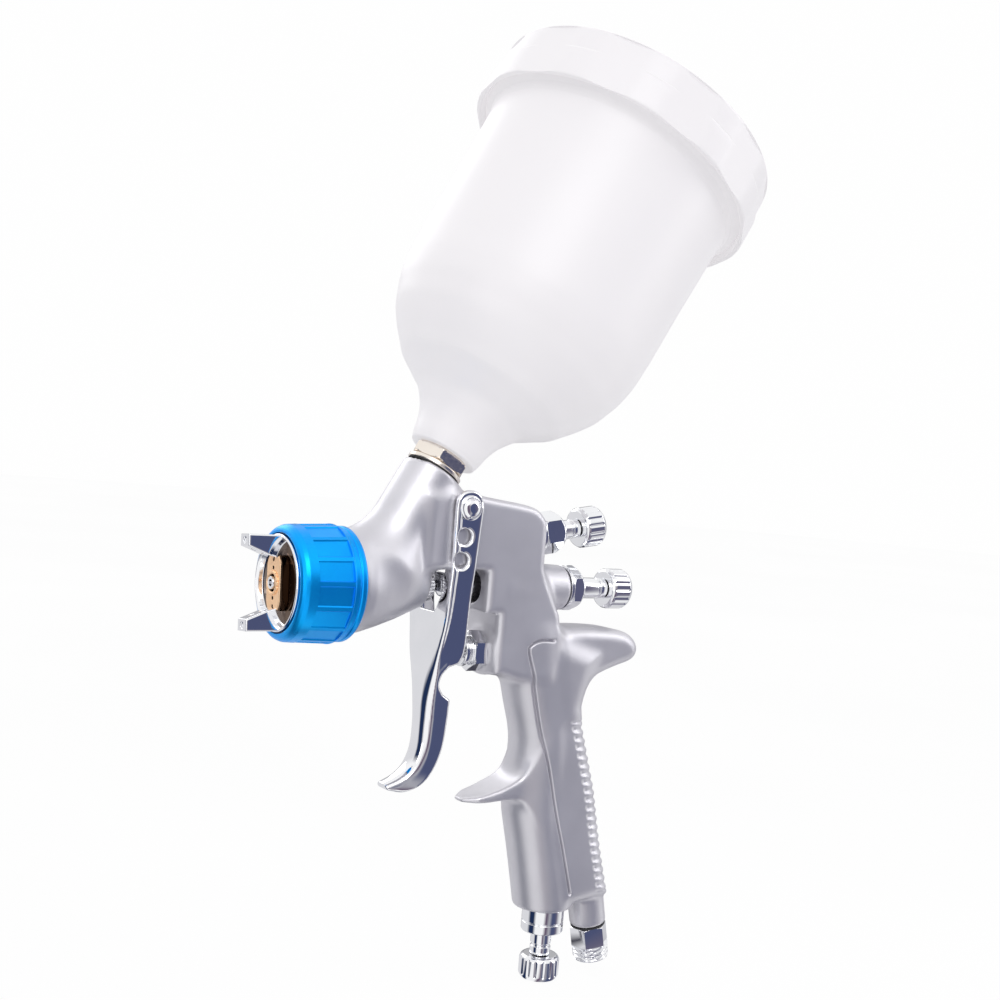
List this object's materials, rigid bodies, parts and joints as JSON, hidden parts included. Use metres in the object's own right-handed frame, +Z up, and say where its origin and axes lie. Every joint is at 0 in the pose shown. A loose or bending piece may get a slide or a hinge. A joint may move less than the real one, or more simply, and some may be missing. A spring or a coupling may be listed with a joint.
{
  "type": "hvlp spray gun",
  "caption": "Gravity-feed hvlp spray gun with a tilted plastic paint cup on top, hinged trigger, turning air cap and ring, and screwed fluid, fan and air controls.",
  "frame": {"origin": "middle of the handle on the gun's middle plane, where the hand closes round it", "axes": "+X along the needle towards the air cap, +Y the gun's left, +Z up, with the needle axis level"},
  "size_m": [0.1815, 0.1062, 0.3289],
  "materials": {
    "casting": "satin pearl",
    "chrome": "polished",
    "nickel": "pale nickel",
    "brass": "machined",
    "steel": "machined",
    "blue": "anodised metallic",
    "poly": "milky translucent",
    "nylon": "plain",
    "rubber": "plain"
  },
  "bodies": {
    "gun": {"gun_body": "casting", "fluid_nozzle": "steel", "baffle_ring": "nylon", "baffle_gasket": "rubber", "needle_packing": "nylon", "packing_nut": "brass", "fluid_bush": "chrome", "fan_bush": "chrome", "pivot_stud": "chrome", "pivot_screw": "chrome", "air_valve_body": "chrome", "needle_spring": "steel", "air_valve_spring": "steel", "adapter_seal": "rubber", "fluid_adapter": "nickel", "cup": "poly", "paint_strainer": "nylon", "cheater_bush": "chrome", "inlet_washer": "rubber", "air_inlet": "chrome"},
    "trigger": {"trigger": "chrome"},
    "needle": {"fluid_needle": "steel", "needle_sleeve": "chrome", "needle_collar": "brass"},
    "air_stem": {"air_valve_stem": "steel", "air_valve_seal": "rubber", "air_valve_poppet": "brass"},
    "air_cap": {"air_cap": "chrome"},
    "ring_seat": {"cap_seal_ring": "nylon"},
    "ring": {"retaining_ring": "blue"},
    "fluid_seat": {"fluid_spring_seat": "brass"},
    "fluid_screw": {"fluid_stem": "chrome", "fluid_knob": "chrome"},
    "fan_seal": {"fan_stem_seal": "rubber"},
    "fan_screw": {"fan_stem": "chrome", "fan_knob": "chrome"},
    "cheater_seal": {"cheater_stem_seal": "rubber"},
    "cheater_screw": {"cheater_stem": "chrome", "cheater_knob": "chrome"},
    "lid_seat": {"lid_gasket": "nylon"},
    "lid": {"lid": "poly"},
    "vent": {"vent_plug": "nylon"}
  },
  "joints": [
    {"name": "trigger_pull", "type": "hinge", "parent": "gun", "child": "trigger", "pos_m": [0.05, 0, 0.085], "axis": [0, 1, 0], "range_deg": [0, 11.4], "stiffness_Nm_per_rad": 1, "springref_deg": -17.19},
    {"name": "needle_slide", "type": "slide", "parent": "gun", "child": "needle", "axis": [-1, 0, 0], "range_m": [0, 0.0043], "deforming": ["needle_spring"]},
    {"name": "air_stem_slide", "type": "slide", "parent": "gun", "child": "air_stem", "axis": [-1, 0, 0], "range_m": [0, 0.0104], "deforming": ["air_valve_spring"]},
    {"name": "cap_turn", "type": "hinge", "parent": "gun", "child": "air_cap", "pos_m": [0.11, 0, 0.058], "axis": [1, 0, 0], "range_deg": [-95, 85]},
    {"name": "ring_travel", "type": "slide", "parent": "gun", "child": "ring_seat", "axis": [1, 0, 0], "range_m": [0, 0.0015]},
    {"name": "ring_turn", "type": "hinge", "parent": "ring_seat", "child": "ring", "pos_m": [0.1, 0, 0.058], "axis": [1, 0, 0], "range_deg": [0, 360]},
    {"name": "fluid_travel", "type": "slide", "parent": "gun", "child": "fluid_seat", "axis": [1, 0, 0], "range_m": [-0.001, 0.002]},
    {"name": "fluid_turn", "type": "hinge", "parent": "fluid_seat", "child": "fluid_screw", "pos_m": [-0.01, 0, 0.058], "axis": [1, 0, 0], "range_deg": [-360, 720]},
    {"name": "fan_travel", "type": "slide", "parent": "gun", "child": "fan_seal", "axis": [0.988, 0, -0.1547], "range_m": [-0.001, 0.001]},
    {"name": "fan_turn", "type": "hinge", "parent": "fan_seal", "child": "fan_screw", "pos_m": [0.0152, 0, 0.0763], "axis": [0.988, 0, -0.1547], "range_deg": [-360, 360]},
    {"name": "cheater_travel", "type": "slide", "parent": "gun", "child": "cheater_seal", "axis": [0, 0, 1], "range_m": [-0.001, 0.001]},
    {"name": "cheater_turn", "type": "hinge", "parent": "cheater_seal", "child": "cheater_screw", "pos_m": [-0.0027, 0, -0.0563], "axis": [0, 0, 1], "range_deg": [-360, 360]},
    {"name": "lid_travel", "type": "slide", "parent": "gun", "child": "lid_seat", "axis": [-0.5, 0, 0.866], "range_m": [0, 0.018]},
    {"name": "lid_turn", "type": "hinge", "parent": "lid_seat", "child": "lid", "pos_m": [-0.007, 0, 0.20838], "axis": [-0.5, 0, 0.866], "range_deg": [0, 1080]},
    {"name": "vent_pull", "type": "slide", "parent": "lid", "child": "vent", "axis": [-0.5, 0, 0.866], "range_m": [0, 0.003]}
  ],
  "couplings": [
    {"joint": "needle_slide", "follows": "trigger_pull", "m_per_rad": 0.0205},
    {"joint": "air_stem_slide", "follows": "trigger_pull", "m_per_rad": 0.0495},
    {"joint": "ring_travel", "follows": "ring_turn", "m_per_rad": 0.00023873},
    {"joint": "fluid_turn", "follows": "fluid_travel", "rad_per_m": 6283.2},
    {"joint": "fan_turn", "follows": "fan_travel", "rad_per_m": 6283.2},
    {"joint": "cheater_turn", "follows": "cheater_travel", "rad_per_m": 6283.2},
    {"joint": "lid_travel", "follows": "lid_turn", "m_per_rad": 0.00095493}
  ]
}
